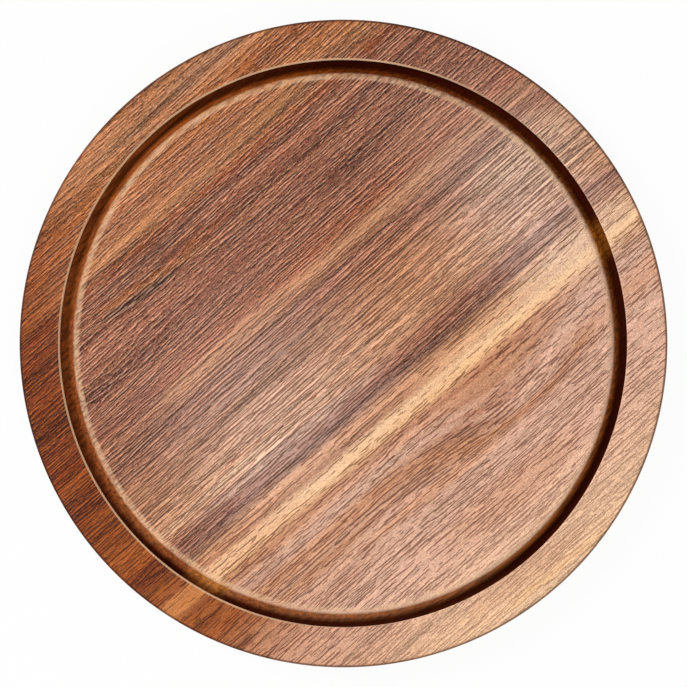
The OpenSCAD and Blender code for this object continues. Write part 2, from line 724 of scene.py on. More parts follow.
class NodeSketch:
    """Adds nodes to a tree and links them, so that a formula reads as calls."""

    # The Mix node's sockets for two colours
    MIX_INPUTS = (0, 6, 7)
    MIX_OUTPUT = 2

    def __init__(self, tree: bpy.types.NodeTree) -> None:
        """Keeps the tree that the nodes go into."""
        self.tree = tree

    def add(self, kind: str, **settings: object) -> bpy.types.Node:
        """Adds a node.

        Args:
            kind: Blender's name of the kind.
            settings: Settings of the node by name.

        Returns:
            The node.
        """
        node = self.tree.nodes.new(kind)
        for name, value in settings.items():
            setattr(node, name, value)
        return node

    def out(self, node: bpy.types.Node, socket: Union[int, str] = 0) -> Wire:
        """The wire of a node's output."""
        return Wire(self, node.outputs[socket])

    def feed(self, socket: bpy.types.NodeSocket, value: object) -> None:
        """Links a wire to an input, or writes a plain value there.

        Args:
            socket: The input.
            value: A wire of the same tree, or a plain value.
        """
        if isinstance(value, Wire):
            self.tree.links.new(value.socket, socket)
        else:
            socket.default_value = value

    def feed_all(self, node: bpy.types.Node, *values: object) -> Wire:
        """Feeds a node's inputs in order.

        Args:
            node: The node.
            values: Wires or plain values for its first inputs.

        Returns:
            The node's first output.
        """
        for socket, value in zip(node.inputs, values):
            self.feed(socket, value)
        return self.out(node)

    def math(self, operation: str, *values: Number) -> Wire:
        """A math node on one to three values."""
        return self.feed_all(self.add("ShaderNodeMath", operation=operation), *values)

    def parts(self, vector: Wire) -> list[Wire]:
        """Takes a vector apart.

        Args:
            vector: The vector.

        Returns:
            Its three parts.
        """
        node = self.add("ShaderNodeSeparateXYZ")
        self.feed_all(node, vector)
        return [Wire(self, socket) for socket in node.outputs]

    def vector(self, x: Number, y: Number, z: Number) -> Wire:
        """A vector of three values."""
        return self.feed_all(self.add("ShaderNodeCombineXYZ"), x, y, z)

    def noise(self, point: Wire, detail: float) -> Wire:
        """Smooth noise of about unit grain.

        Args:
            point: Where the noise is read.
            detail: Number of finer noises on top.

        Returns:
            The noise, from 0 to 1.
        """
        node = self.add("ShaderNodeTexNoise")
        self.feed(node.inputs["Vector"], point)
        self.feed(node.inputs["Scale"], 1.0)
        self.feed(node.inputs["Detail"], detail)
        return self.out(node)

    def ease(self, value: Wire, low: float, high: float, start: float = 0.0, end: float = 1.0) -> Wire:
        """A smooth step from start, at low, to end, at high."""
        node = self.add("ShaderNodeMapRange", interpolation_type="SMOOTHSTEP")
        return self.feed_all(node, value, low, high, start, end)

    def window(self, value: Wire, rise: float, top: float, flat: float, fall: float) -> Wire:
        """1 from top to flat, easing to 0 at rise and at fall."""
        return self.ease(value, rise, top) * self.ease(value, flat, fall, 1.0, 0.0)

    def between(self, mask: Wire, start: float, end: float) -> Wire:
        """A straight run from start, where the mask is 0, to end, where it is 1."""
        return mask * (end - start) + start

    def ramp(self, factor: Wire, stops: list[tuple[float, Colour]]) -> Wire:
        """A colour ramp with straight runs between its stops.

        Args:
            factor: Place on the ramp, from 0 to 1.
            stops: Place and colour of each stop, in rising order.

        Returns:
            The colour.
        """
        node = self.add("ShaderNodeValToRGB")
        elements = node.color_ramp.elements
        for place, colour in stops[1:-1]:
            elements.new(place).color = colour
        for index, (place, colour) in ((0, stops[0]), (len(stops) - 1, stops[-1])):
            elements[index].position = place
            elements[index].color = colour
        return self.feed_all(node, factor)

    def blend(self, factor: Number, first: object, second: object, mode: str = "MIX") -> Wire:
        """Mixes two colours.

        Args:
            factor: Share of the second colour.
            first: The first colour.
            second: The second colour.
            mode: Blender's name of the way to mix.

        Returns:
            The mixed colour.
        """
        node = self.add("ShaderNodeMix", data_type="RGBA", blend_type=mode)
        for socket, value in zip(self.MIX_INPUTS, (factor, first, second)):
            self.feed(node.inputs[socket], value)
        return self.out(node, self.MIX_OUTPUT)

    def tint(self, colour: Wire, by: object) -> Wire:
        """A colour times another colour."""
        return self.blend(1.0, colour, by, "MULTIPLY")

    def scale(self, colour: Wire, factor: Wire) -> Wire:
        """A colour times a plain factor."""
        return self.tint(colour, self.vector(factor, factor, factor))

    def mix_shaders(self, share: Wire, first: Wire, second: Wire) -> Wire:
        """A shader mixed from two."""
        return self.feed_all(self.add("ShaderNodeMixShader"), share, first, second)

    def place_group(self, tree: bpy.types.NodeTree, *values: object) -> list[Wire]:
        """Places a group.

        Args:
            tree: The group's tree.
            values: Wires or plain values for its inputs, in order.

        Returns:
            Its outputs.
        """
        node = self.add("ShaderNodeGroup", node_tree=tree)
        self.feed_all(node, *values)
        return [Wire(self, socket) for socket in node.outputs]


class EffectGroup(NodeSketch):
    """A shader node group with named inputs and outputs."""

    def __init__(self, name: str, inputs: dict[str, str], outputs: dict[str, str]) -> None:
        """Makes the group.

        Args:
            name: Name of the group.
            inputs: Kind of each input socket by its name.
            outputs: Kind of each output socket by its name.
        """
        super().__init__(bpy.data.node_groups.new(name, "ShaderNodeTree"))
        for side, sockets in (("INPUT", inputs), ("OUTPUT", outputs)):
            for label, kind in sockets.items():
                self.tree.interface.new_socket(label, in_out=side, socket_type="NodeSocket" + kind)
        self.entry = self.add("NodeGroupInput")
        self.exit = self.add("NodeGroupOutput")

    def given(self, label: str) -> Wire:
        """The wire of a named input."""
        return Wire(self, self.entry.outputs[label])

    def give(self, label: str, value: Wire) -> None:
        """Links a wire to a named output."""
        self.feed(self.exit.inputs[label], value)


# Figure of the wood


@dataclass(frozen=True)
class Streak:
    """A streak of another tone along the grain: a lens between two points, in millimetres."""

    start: tuple[float, float]
    end: tuple[float, float]
    width: float
    tone: Tone
    strength: float


@dataclass(frozen=True)
class NoiseGrain:
    """Grain of a noise in the wood: its lengths along, across and through the board, in millimetres."""

    along: float
    across: float
    through: float
    detail: float = 0.0


# Noises of the figure
WARP = NoiseGrain(120.0, 70.0, 70.0, 1.0)
WARMTH = NoiseGrain(110.0, 3.2, 3.2, 1.0)
SOFT = NoiseGrain(140.0, 4.0, 4.0, 2.0)
THREAD = NoiseGrain(60.0, 1.3, 1.3, 1.0)
FIBRE = NoiseGrain(2.4, 0.4, 0.4)
STIPPLE = NoiseGrain(0.8, 0.55, 0.55)
GAP = NoiseGrain(2.6, 0.9, 0.9)
PORE = NoiseGrain(1.8, 0.9, 0.9, 1.0)
SOAK = NoiseGrain(40.0, 1.6, 1.6, 2.0)
RUB_HIGHLIGHT_GRAIN = NoiseGrain(7.0, 1.2, 1.0, 1.0)
SHEEN = NoiseGrain(9.0, 1.4, 1.4, 2.0)

# How far the slow warp moves the figure, and how far aside of the soft noise the warmth is read
WARP_REACH = 7.0
WARMTH_ASIDE = 128.0

# Tints that multiply the wood's colour, some of them painted highlight and painted shade, and the colour of
# the painted sheen
# Painted shade in the furrow beside each ridge, partly the pores' own dark
FURROW_SHADE_AND_PORE_TINT = (0.26, 0.16, 0.12, 1.0)
# Painted highlight on each raised ridge
RIDGE_HIGHLIGHT_TINT = (2.3, 2.2, 2.0, 1.0)
# Dark of the end grain, also painted shade on the outer edge's top round
END_GRAIN_AND_SHADE_TINT = (0.34, 0.27, 0.22, 1.0)
# Oil tint of the groove, also the painted shade on one side of the rim
OIL_AND_SHADE_TINT = (0.58, 0.3, 0.09, 1.0)
# Whitish colour of the painted sheen
PAINTED_SHEEN_TINT = (0.93, 0.9, 0.88, 1.0)

# Patches of the field and the rim: the flat-sawn flame, the painted sheen and the dark pores
FLAME = Patch(middle=(30.0, -68.0), reach=(70.0, 22.0), strength=0.35)
# Painted sheen: whitish patches where the lamps' reflection would lie on the field
PAINTED_SHEEN_PATCHES = (
    Patch(middle=(-50.0, 0.0), reach=(62.0, 44.0), strength=0.2),
    Patch(middle=(116.0, -4.0), reach=(42.0, 48.0), strength=0.25),
)
PORES = Patch(middle=(10.0, 151.0), reach=(34.0, 8.0), strength=0.7)

# Growth rings: pitch and sharpness in the flat-sawn patch, lean and curve below the top face
RING_PITCH = 2.8
RING_EDGE = (0.4, 0.9)
RING_SLOPE = 0.5
RING_CURVE = 0.015

# How strongly each effect shows, first on dark wood and then on pale wood, and what counts as dark and pale
WARMTH_SHOWN = (0.4, 0.15)
STIPPLE_SHOWN = (0.46, 0.21)
FIBRE_SHOWN = (0.34, 0.12)
RIDGE_SHOWN = (0.9, 0.6)
FURROW_SHOWN = (1.0, 0.8)
PALE_LIGHT = (0.1, 0.32)

# The same, first on the figured side and then on the calm side, and where the calm side starts
CALM_WARMTH = (1.0, 0.3)
CALM_SOFT = (1.6, 0.6)
CALM_THREAD = (1.5, 0.6)
CALM_SIDE = (-30.0, -42.0)

# Light of the wood between its lines, and the least of it
MEAN_LIGHT = 1.04
LEAST_LIGHT = 0.3

# Heights of the lines that count as raised and as sunken, and the sides on which they break up or grow faint
RAISED = (0.2, 0.75)
SUNKEN = (-0.1, -0.55)
GAP_SIDE = (20.0, 70.0)
FAINT_SIDE = (-105.0, -140.0)

# Heights above the underside, in millimetres, over which each finish, painted highlight and painted shade
# sets in
BRUSHED_HEIGHTS = (8.0, 9.0)
UPPER_HEIGHTS = (6.0, 8.0)
SOAKED_HEIGHTS = (14.6, 14.0)
ARRIS_HEIGHTS = (13.6, 14.2)
EDGE_HEIGHTS = (11.0, 13.6)

# Distances past the start of the lip, the groove's outer wall and the board's outer edge, in millimetres
LIP_SOAK = (2.2, 4.0)
LIP_RUB_HIGHLIGHT = (-0.8, 0.6, 2.2, 3.6)
WALL_SOAK = (0.3, 0.1)
WALL_SHADE = (-5.8, -2.4)
WALL_RUB_HIGHLIGHT = (-0.1, 0.0, 0.6, 1.0)
WALL_RIM = (0.0, 0.4)
EDGE_FACE = (-0.4, -1.2)
EDGE_GRAIN = (-1.6, -0.7)

# The sapwood's place across the grain on the rim and in the groove, and the rim's part darkened with painted
# shade
RIM_SAPWOOD = (-54.0, -48.0, -38.0, -32.0)
GROOVE_SAPWOOD = (-58.0, -50.0, -40.0, -32.0)
RIM_SHADE_ALONG = (-20.0, -135.0)
RIM_SHADE_ACROSS = (-115.0, -55.0)

# Directions from the middle to the groove's side painted as lit, and to the side whose wall and lip show
# brightest in painted highlight
LIT_GROOVE_SIDE = (-0.98, 0.2)
BRIGHT_SIDE = (-0.5, 0.87)

# Roughness of the satin finish, from its smoothest to its dullest
SATIN = (0.4, 0.56)

# Spans of the noises over which each effect sets in
NOISE_SPAN = (0.3, 0.7)
SPECK_SPAN = (0.27, 0.73)
SHEEN_SPAN = (0.25, 0.75)
WARM_SPAN = (0.5, 0.8)
COOL_SPAN = (0.5, 0.2)
GAP_SPAN = (0.55, 0.35)
PORE_SPAN = (0.55, 0.66)

# Share of the painted highlight in a raised line, what is left of a line in its gaps, and what the faint side
# loses
RIDGE_HIGHLIGHT_SHARE = 0.45
GAP_LEFT = 0.4
FAINT_LOSS = 0.3

# Strength of the rim's painted shade where it ends, and on the sapwood
RIM_SHADE_LEAST = 0.3
RIM_SHADE_SAPWOOD = 0.85

# The groove's oil: shares of the oiled wood and of the sapwood's own tone, light, and strength by the painted
# lit side
SOAK_OIL = 0.3
SOAK_SAPWOOD = 0.8
SOAK_LIGHT = (0.5, 1.35)
SOAK_SHOWN = (1.0, 0.9)
LIT_GROOVE_SPAN = (-0.5, 0.5)

# The groove's painted shade at its dark foot: how far the painted lit side moves it out, and its strength by
# the side and on the sapwood
SHADE_MOVE = 1.2
SHADE_SHOWN = (0.95, 0.25)
SHADE_SPAN = (0.3, 1.0)
SHADE_SAPWOOD = 0.7

# The rubbed lip and arris with painted highlight: where they brighten, the lip's least and uneven strengths,
# and the arris's
LIP_SPAN = (-1.0, -0.3)
LIP_LEAST = 0.4
LIP_SHOWN = (0.15, 0.65)
ARRIS_SPAN = (-0.45, 0.2)
ARRIS_SHOWN = 0.8

# Strength of the end grain's dark colour below the outer edge's top round
END_GRAIN_LEAST = 0.55

# Place across the grain, in millimetres, and the tone there
BANDS = (
    (160, Tone.GOLDEN), (148, Tone.HONEY), (134, Tone.AMBER), (120, Tone.GOLDEN), (108, Tone.HONEY),
    (102, Tone.UMBER), (94, Tone.CHESTNUT), (86, Tone.WALNUT), (76, Tone.CHESTNUT), (68, Tone.WALNUT),
    (56, Tone.CHESTNUT), (44, Tone.RUSSET), (39, Tone.TAN), (34, Tone.TAN), (30, Tone.CEDAR),
    (22, Tone.CEDAR), (12, Tone.TAN), (4, Tone.TAN), (-6, Tone.BISCUIT), (-15, Tone.BISCUIT),
    (-20, Tone.CEDAR), (-28, Tone.PLUM), (-33, Tone.BISCUIT), (-39, Tone.TAN), (-42, Tone.CREAM),
    (-48, Tone.SAPWOOD), (-51, Tone.ROSE), (-60, Tone.PINK), (-66, Tone.ROSE), (-78, Tone.PINK),
    (-110, Tone.PINK), (-160, Tone.STRAW),
)

# Laid over one another in this order
STREAKS = (
    Streak((-98, 95), (-2, 79), 3.0, Tone.AMBER, 0.8),
    Streak((-88, 87), (-26, 80), 2.8, Tone.SMOKE, 0.85),
    Streak((-75, 97), (-5, 95), 2.6, Tone.SMOKE, 0.35),
    Streak((-110, 97), (110, 97), 3.0, Tone.SMOKE, 0.4),
    Streak((-45, 87), (5, 86), 4.0, Tone.RUSSET, 0.6),
    Streak((40, 84), (140, 89), 3.0, Tone.SMOKE, 0.5),
    Streak((20, 62), (145, 70), 4.0, Tone.SMOKE, 0.4),
    Streak((-10, 36), (120, 38), 3.5, Tone.BISCUIT, 0.5),
    Streak((-150, 16), (90, 15), 1.8, Tone.PLUM, 0.35),
    Streak((-130, 27), (100, 28), 2.4, Tone.PLUM, 0.4),
    Streak((-40, 6), (65, 5), 2.4, Tone.BISCUIT, 0.5),
    Streak((-150, -14), (-40, -13), 3.0, Tone.STRAW, 0.5),
    Streak((-150, -28), (110, -28), 1.6, Tone.SMOKE, 0.25),
    Streak((0, -54), (100, -54), 1.6, Tone.RUSSET, 0.4),
    Streak((44, -76), (94, -74), 6.0, Tone.PINK, 0.35),
    Streak((5, -58), (98, -60), 7.0, Tone.TAN, 0.55),
    Streak((-12, -65), (50, -82), 4.5, Tone.CHESTNUT, 0.5),
    Streak((85, -61), (165, -68), 8.0, Tone.PINK, 0.5),
    Streak((62, -84), (125, -80), 6.0, Tone.PINK, 0.5),
    Streak((58, -85), (108, -70), 2.0, Tone.UMBER, 0.2),
    Streak((85, -75), (130, -74), 5.0, Tone.PINK, 0.4),
    Streak((-130, -19), (25, -20), 4.0, Tone.PINK, 0.6),
    Streak((30, 134), (115, 127), 7.0, Tone.UMBER, 0.5),
    Streak((60, 110), (130, 106), 6.0, Tone.UMBER, 0.3),
    Streak((-140, 36), (-80, 36), 6.0, Tone.UMBER, 0.5),
    Streak((-135, 52), (-60, 51), 4.0, Tone.WALNUT, 0.5),
    Streak((-30, 76), (90, 77), 5.0, Tone.SMOKE, 0.25),
    Streak((20, 97), (155, 94), 5.0, Tone.SMOKE, 0.25),
    Streak((-125, 117), (-60, 116), 5.0, Tone.HONEY, 0.6),
    Streak((-150, 93), (-95, 92), 4.0, Tone.AMBER, 0.6),
    Streak((88, 16), (172, 17), 12.0, Tone.STRAW, 0.35),
    Streak((20, -33), (170, -33), 4.0, Tone.BISCUIT, 0.6),
    Streak((-165, -37), (-40, -37), 4.0, Tone.TAN, 0.6),
    Streak((-160, -52), (-30, -50), 4.5, Tone.TAN, 0.65),
    Streak((120, 40), (165, 37), 5.0, Tone.CHESTNUT, 0.4),
    Streak((-110, -73), (5, -79), 1.2, Tone.UMBER, 0.5),
    Streak((-40, -152), (50, -153), 3.0, Tone.SAPWOOD, 0.5),
    Streak((-150, -76), (-30, -76), 4.0, Tone.TAN, 0.5),
    Streak((0, 148), (85, 145), 6.0, Tone.ROSE, 0.6),
    Streak((60, 66), (130, 68), 8.0, Tone.CHESTNUT, 0.4),
    Streak((60, 40), (150, 44), 28.0, Tone.TAN, 0.25),
    Streak((70, -36), (190, -36), 6.0, Tone.STRAW, 0.45),
    Streak((-170, -44), (-50, -44), 5.0, Tone.BISCUIT, 0.45),
    Streak((0, -67), (62, -70), 3.5, Tone.RUSSET, 0.4),
    Streak((-70, -84), (40, -85), 4.0, Tone.ROSE, 0.5),
    Streak((5, -38), (125, -38), 4.0, Tone.CREAM, 0.4),
    Streak((100, 6), (180, 4), 16.0, Tone.STRAW, 0.3),
    Streak((-90, 119), (70, 118), 11.0, Tone.CEDAR, 0.55),
    Streak((-140, 40), (-70, 38), 24.0, Tone.WALNUT, 0.3),
    Streak((-125, -82), (-40, -84), 14.0, Tone.TAN, 0.3),
    Streak((-75, -74), (60, -76), 16.0, Tone.TAN, 0.2),
    Streak((80, -34), (180, -34), 14.0, Tone.STRAW, 0.2),
    Streak((85, -27), (175, -27), 5.0, Tone.TAN, 0.45),
    Streak((80, -51), (180, -52), 5.0, Tone.STRAW, 0.4),
    Streak((78, -66), (128, -70), 6.0, Tone.PINK, 0.5),
    Streak((-40, -108), (70, -110), 12.0, Tone.ROSE, 0.4),
    Streak((-60, -142), (40, -146), 8.0, Tone.TAN, 0.25),
    Streak((-125, -60), (-85, -60), 4.0, Tone.CHESTNUT, 0.4),
    Streak((-135, 46), (-75, 46), 9.0, Tone.WALNUT, 0.45),
    *(
        Streak((-168, place), (-122, place), 3.5, Tone.UMBER, 0.6)
        for place in (100, 54, 40, 22, -60, -80, -92)
    ),
)


class StreakMask(EffectGroup):
    """Group for the mask of one streak: 1 - (along / half length)^2 - (across / width)^2, kept above 0."""

    INPUTS = ("Along", "Across", "Middle Along", "Middle Across", "Slope", "Half Length", "Width")
    FULL = 0.9

    def __init__(self) -> None:
        """Builds the group."""
        super().__init__("streak_mask", dict.fromkeys(self.INPUTS, "Float"), {"Mask": "Float"})
        along = self.given("Along") - self.given("Middle Along")
        across = self.given("Across") - self.given("Middle Across") - along * self.given("Slope")
        far = along / self.given("Half Length")
        wide = across / self.given("Width")
        self.give("Mask", self.ease(1.0 - far * far - wide * wide, 0.0, self.FULL))


class WoodFigure(EffectGroup):
    """The figure that runs on over all the staves, as one node group.

    Its wires are places in millimetres. Across is the place across the grain after the rings' lean and a slow
    warp, course follows the rings' whole swing round the bulges, and fibre_course the fibres' share of it.
    """

    def __init__(self, section: BoardSection, stave_count: int) -> None:
        """Builds the group.

        Args:
            section: The board's section, whose groove and rim the finish follows.
            stave_count: Number of equal staves side by side.
        """
        super().__init__(
            "wood_figure",
            {"Point": "Vector", "Lines": "Float"},
            {"Color": "Color", "Roughness": "Float", "Height": "Float"},
        )
        self.streak_mask = StreakMask()
        self.edge = section.radius / MM
        self.wall = section.wall_radius / MM
        self.lip = section.lip_start / MM
        self.top = section.thickness / MM
        self.stave_width = 2 * self.edge / stave_count
        self.x, self.y, self.z = (part * (1 / MM) for part in self.parts(self.given("Point")))
        self.radius = self.math("SQRT", self.x * self.x + self.y * self.y)
        face = self.ease(self.radius - self.edge, *EDGE_FACE)
        self.lines = self.given("Lines") * face
        self.brushed = face * self.ease(self.z, *BRUSHED_HEIGHTS)
        warp = (self.grain(WARP, self.y) - 0.5) * WARP_REACH
        self.across = self.y + self.ring_lean() + warp
        swing = sum(self.bulge_shift(bulge) for bulge in BULGES)
        self.course = self.across + swing
        self.fibre_course = self.across + swing * FIBRE_SWING
        self.draw()

    def draw(self) -> None:
        """Lays the steps of the finish, painted sheen, highlight and shade among them, over one another and
        gives the colour, roughness and fine height.
        """
        colour = self.painted_sheen(self.streaked(self.flamed(self.banded())))
        fibre = self.ease(self.grain(FIBRE, self.fibre_course), *NOISE_SPAN, start=-1.0)
        colour = self.fibred(fibre, colour)
        finished = self.rubbed_and_highlighted(self.soaked_and_painted_shade(self.flecked(self.rim_side_painted_shade(colour))))
        colour = self.blend(self.ease(self.z, *UPPER_HEIGHTS), colour, finished)
        self.give("Color", self.edge_grain_and_painted_shade(colour))
        self.give("Roughness", self.ease(self.grain(SHEEN, self.course), *SHEEN_SPAN, *SATIN))
        self.give("Height", fibre)

    def grain(self, grain: NoiseGrain, across: Wire) -> Wire:
        """A noise of the wood, from 0 to 1.

        Args:
            grain: The noise's grain.
            across: Place across the grain that the noise follows.

        Returns:
            The noise.
        """
        point = self.vector(self.x / grain.along, across / grain.across, self.z / grain.through)
        return self.noise(point, grain.detail)

    def patch(self, patch: Patch) -> Wire:
        """The strength of Patch.at as nodes.

        Args:
            patch: The patch.

        Returns:
            Its strength.
        """
        far = (self.x - patch.middle[0]) / patch.reach[0]
        wide = (self.y - patch.middle[1]) / patch.reach[1]
        return self.math("EXPONENT", (far * far + wide * wide) * -1.0) * patch.strength

    def towards(self, side: tuple[float, float]) -> Wire:
        """How far a place lies towards a side of the board, from -1 to 1."""
        return (self.x * side[0] + self.y * side[1]) / self.radius

    def ring_lean(self) -> Wire:
        """How far the growth rings lean across the grain below the top face, turned over on every next stave.

        Returns:
            The lean, in millimetres.
        """
        depth = self.top - self.z
        stave = self.math("FLOOR", (self.y + self.edge) / self.stave_width)
        turned = self.math("MODULO", stave, 2.0)
        return depth * self.between(turned, -RING_SLOPE, RING_SLOPE) + depth * depth * RING_CURVE

    def bulge_shift(self, bulge: Bulge) -> Wire:
        """The move of Bulge.shift as nodes.

        Args:
            bulge: The bulge.

        Returns:
            The move across the grain, in millimetres.
        """
        off = self.x - bulge.centre
        before = self.math("LESS_THAN", off, 0.0)
        share = off / self.between(before, bulge.reach_after, bulge.reach_before)
        low, high = bulge.across[0], bulge.across[-1]
        most = max(abs(push) for push in bulge.push)
        stops = []
        for place, push in zip(bulge.across, bulge.push):
            level = 0.5 + 0.5 * push / most
            stops.append(((place - low) / (high - low), (level, level, level, 1.0)))
        curve = self.ramp((self.across - low) / (high - low), stops)
        return self.math("EXPONENT", share * share * -1.0) * self.between(curve, -most, most)

    def banded(self) -> Wire:
        """Broad bands of tone across the grain.

        Returns:
            The colour.
        """
        low, high = float(BANDS[-1][0]), float(BANDS[0][0])
        stops = [((place - low) / (high - low), tone.colour()) for place, tone in reversed(BANDS)]
        return self.ramp((self.course - low) / (high - low), stops)

    def flamed(self, colour: Wire) -> Wire:
        """Draws reddish growth rings through the flat-sawn patch."""
        ring = self.math("SINE", self.course * (2 * math.pi / RING_PITCH))
        return self.blend(self.ease(ring, *RING_EDGE) * self.patch(FLAME), colour, Tone.RUSSET.colour())

    def streaked(self, colour: Wire) -> Wire:
        """Lays the streaks over the bands.

        Args:
            colour: Colour of the bands.

        Returns:
            The colour.
        """
        for streak in STREAKS:
            (x0, y0), (x1, y1) = streak.start, streak.end
            middle = ((x0 + x1) / 2, (y0 + y1) / 2)
            form = ((y1 - y0) / (x1 - x0), (x1 - x0) / 2, streak.width)
            mask, = self.place_group(self.streak_mask.tree, self.x, self.across, *middle, *form)
            colour = self.blend(mask * streak.strength, colour, streak.tone.colour())
        return colour

    def painted_sheen(self, colour: Wire) -> Wire:
        """Lays whitish patches of painted sheen on the wood, under its lines."""
        # Painted sheen: whitish patches in the colour stand in for a reflection
        return self.blend(sum(self.patch(patch) for patch in PAINTED_SHEEN_PATCHES), colour, PAINTED_SHEEN_TINT)

    def fibred(self, fibre: Wire, colour: Wire) -> Wire:
        """Adds warm and cool streaks, light and dark fibres, and the brushed lines with their painted
        highlight and shade.

        Args:
            fibre: The finest fibres, from -1 to 1.
            colour: Colour of the wood before that.

        Returns:
            The colour.
        """
        lightness = self.feed_all(self.add("ShaderNodeRGBToBW"), colour)
        pale = self.ease(lightness, *PALE_LIGHT)
        calm = self.ease(self.course, *CALM_SIDE)
        colour = self.warmed(pale, calm, colour)
        colour = self.shaded(fibre, pale, calm, colour)
        return self.lines_painted_lit_and_shaded(pale, colour)

    def warmed(self, pale: Wire, calm: Wire, colour: Wire) -> Wire:
        """Adds warm and cool streaks.

        Args:
            pale: 1 on pale wood and 0 on dark wood.
            calm: 1 on the calm side and 0 on the figured side.
            colour: Colour of the wood before that.

        Returns:
            The colour.
        """
        warm = self.grain(WARMTH, self.course + WARMTH_ASIDE)
        shown = self.between(pale, *WARMTH_SHOWN) * self.between(calm, *CALM_WARMTH)
        colour = self.blend(self.ease(warm, *WARM_SPAN) * shown, colour, Tone.TAN.colour())
        return self.blend(self.ease(warm, *COOL_SPAN) * shown, colour, Tone.PLUM.colour())

    def shaded(self, fibre: Wire, pale: Wire, calm: Wire, colour: Wire) -> Wire:
        """Makes the wood lighter and darker by its soft streaks, threads, fibres and specks.

        Args:
            fibre: The finest fibres, from -1 to 1.
            pale: 1 on pale wood and 0 on dark wood.
            calm: 1 on the calm side and 0 on the figured side.
            colour: Colour of the wood before that.

        Returns:
            The colour.
        """
        soft = (self.grain(SOFT, self.course) - 0.5) * self.between(calm, *CALM_SOFT)
        thread = (self.grain(THREAD, self.fibre_course) - 0.5) * self.between(calm, *CALM_THREAD)
        speck = self.ease(self.grain(STIPPLE, self.fibre_course), *SPECK_SPAN, start=-1.0)
        speck = speck * self.between(pale, *STIPPLE_SHOWN) * self.brushed
        light = soft + thread + fibre * self.between(pale, *FIBRE_SHOWN) + speck + MEAN_LIGHT
        return self.scale(colour, self.math("MAXIMUM", light, LEAST_LIGHT))

    def lines_painted_lit_and_shaded(self, pale: Wire, colour: Wire) -> Wire:
        """Lightens the raised lines with a painted highlight and darkens the furrows beside them with painted
        shade, partly the pores' own dark.

        Args:
            pale: 1 on pale wood and 0 on dark wood.
            colour: Colour of the wood before that.

        Returns:
            The colour.
        """
        gap = self.ease(self.grain(GAP, self.fibre_course), *GAP_SPAN) * self.ease(self.course, *GAP_SIDE)
        whole = self.between(gap, 1.0, GAP_LEFT)
        raised = self.ease(self.lines, *RAISED) * whole * self.between(pale, *RIDGE_SHOWN)
        # Painted highlight on the raised lines, then painted shade in the furrows beside them
        highlighted = self.blend(RIDGE_HIGHLIGHT_SHARE, Tone.BLUSH.colour(), self.tint(colour, RIDGE_HIGHLIGHT_TINT))
        colour = self.blend(raised, colour, highlighted)
        faint = self.ease(self.course, *FAINT_SIDE) * FAINT_LOSS
        sunken = self.ease(self.lines, *SUNKEN) * whole * (self.between(pale, *FURROW_SHOWN) - faint)
        return self.blend(sunken, colour, self.tint(colour, FURROW_SHADE_AND_PORE_TINT))

    def rim_side_painted_shade(self, colour: Wire) -> Wire:
        """Darkens one side of the rim with painted shade in an oil tint, less so the sapwood.

        Args:
            colour: Colour of the wood before that.

        Returns:
            The colour.
        """
        # Painted shade: one side of the rim darkened in an oil tint
        soaked_and_painted_shade = self.ease(self.radius - self.wall, *WALL_RIM) * self.ease(self.x, *RIM_SHADE_ALONG)
        soaked_and_painted_shade = soaked_and_painted_shade * self.ease(self.y, *RIM_SHADE_ACROSS, start=RIM_SHADE_LEAST)
        soaked_and_painted_shade = soaked_and_painted_shade * self.between(self.window(self.y, *RIM_SAPWOOD), 1.0, RIM_SHADE_SAPWOOD)
        return self.blend(soaked_and_painted_shade, colour, self.tint(colour, OIL_AND_SHADE_TINT))

    def flecked(self, colour: Wire) -> Wire:
        """Scatters dark pores over one patch of the golden rim."""
        pore = self.ease(self.grain(PORE, self.y), *PORE_SPAN)
        return self.blend(pore * self.patch(PORES), colour, Tone.SMOKE.colour())

    def soaked_and_painted_shade(self, colour: Wire) -> Wire:
        """Darkens the groove with soaked oil, painted lighter on its lit side, and paints shade at the foot
        of its outer wall.

        Args:
            colour: Colour of the wood before that.

        Returns:
            The colour.
        """
        past_wall = self.radius - self.wall
        within = self.ease(past_wall, *WALL_SOAK) * self.ease(self.z, *SOAKED_HEIGHTS)
        # The groove's oil tone is painted lighter on the side that faces the light
        lit_side = self.ease(self.towards(LIT_GROOVE_SIDE), *LIT_GROOVE_SPAN)
        sapwood = self.window(self.y, *GROOVE_SAPWOOD)
        soak = self.blend(lit_side, Tone.TOFFEE.colour(), Tone.CARAMEL.colour())
        soak = self.blend(SOAK_OIL, soak, self.tint(colour, OIL_AND_SHADE_TINT))
        soak = self.blend(sapwood * SOAK_SAPWOOD, soak, Tone.MARMALADE.colour())
        soak = self.scale(soak, self.ease(self.grain(SOAK, self.y), *NOISE_SPAN, *SOAK_LIGHT))
        oily = self.ease(self.radius - self.lip, *LIP_SOAK) * within * self.between(lit_side, *SOAK_SHOWN)
        colour = self.blend(oily, colour, soak)
        # Painted shade: a near-black band at the foot of the groove's outer wall, weaker on the bright side
        painted_shade = self.ease(past_wall - lit_side * SHADE_MOVE, *WALL_SHADE) * within
        shown = self.ease(self.towards(BRIGHT_SIDE), *SHADE_SPAN)
        strength = self.between(shown, *SHADE_SHOWN) * self.between(sapwood, 1.0, SHADE_SAPWOOD)
        return self.blend(painted_shade * strength, colour, Tone.PAINTED_SHADE_BROWN.colour())

    def rubbed_and_highlighted(self, colour: Wire) -> Wire:
        """Lightens the groove's lip and outer arris: partly wear, partly a painted highlight, strongest on
        the bright side.

        Args:
            colour: Colour of the wood before that.

        Returns:
            The colour.
        """
        facing = self.towards(BRIGHT_SIDE)
